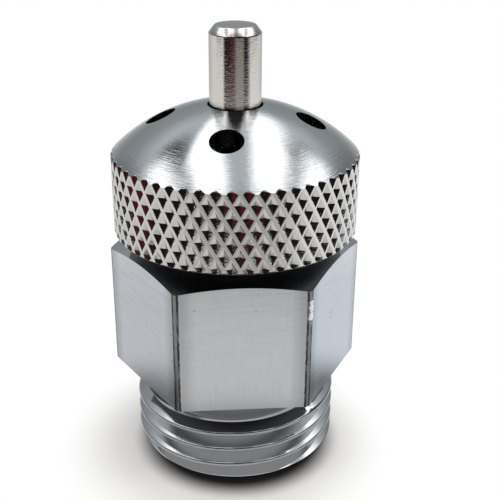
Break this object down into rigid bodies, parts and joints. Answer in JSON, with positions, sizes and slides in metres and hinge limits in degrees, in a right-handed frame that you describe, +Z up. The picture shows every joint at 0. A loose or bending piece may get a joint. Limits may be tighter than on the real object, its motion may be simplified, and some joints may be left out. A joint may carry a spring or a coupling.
{
  "type": "push-pin drain valve",
  "caption": "Chromed drain valve: hexagonal body with a male pipe thread, knurled domed cap with drain holes, and a sprung pin pressed to open it.",
  "frame": {"origin": "centre of the threaded end's face, on the valve's axis", "axes": "+Z up along the valve's axis towards the pin, -Y out of a flat of the hexagon"},
  "size_m": [0.0252, 0.0242, 0.0437],
  "materials": {
    "body_chrome": "chrome plate over turned brass, finely scratched flats",
    "cap_chrome": "chrome plate over turned brass, fine turning lines",
    "pin_steel": "bright turned pin with fine rings",
    "black_rubber": "matt black rubber",
    "bare_brass": "turned brass",
    "spring_steel": "drawn spring steel"
  },
  "bodies": {
    "body": {"valve_body": "body_chrome", "guide_plate": "bare_brass", "retaining_ring": "spring_steel", "return_spring": "spring_steel"},
    "pin": {"push_pin": "pin_steel", "valve_disc": "bare_brass", "seat_washer": "black_rubber", "lock_nut": "bare_brass"},
    "gasket": {"cap_gasket": "black_rubber"},
    "cap": {"knurled_cap": "cap_chrome"}
  },
  "joints": [
    {"name": "pin_press", "type": "slide", "parent": "body", "child": "pin", "axis": [0, 0, -1], "range_m": [0, 0.003], "stiffness_N_per_m": 800, "springref_m": -0.005, "deforming": ["return_spring"]},
    {"name": "cap_lift", "type": "slide", "parent": "body", "child": "gasket", "axis": [0, 0, 1], "range_m": [0, 0.004]},
    {"name": "cap_turn", "type": "hinge", "parent": "gasket", "child": "cap", "pos_m": [0, 0, 0.0238], "axis": [0, 0, 1], "range_deg": [0, 1440]}
  ],
  "couplings": [
    {"joint": "cap_turn", "follows": "cap_lift", "rad_per_m": 6283.2}
  ]
}
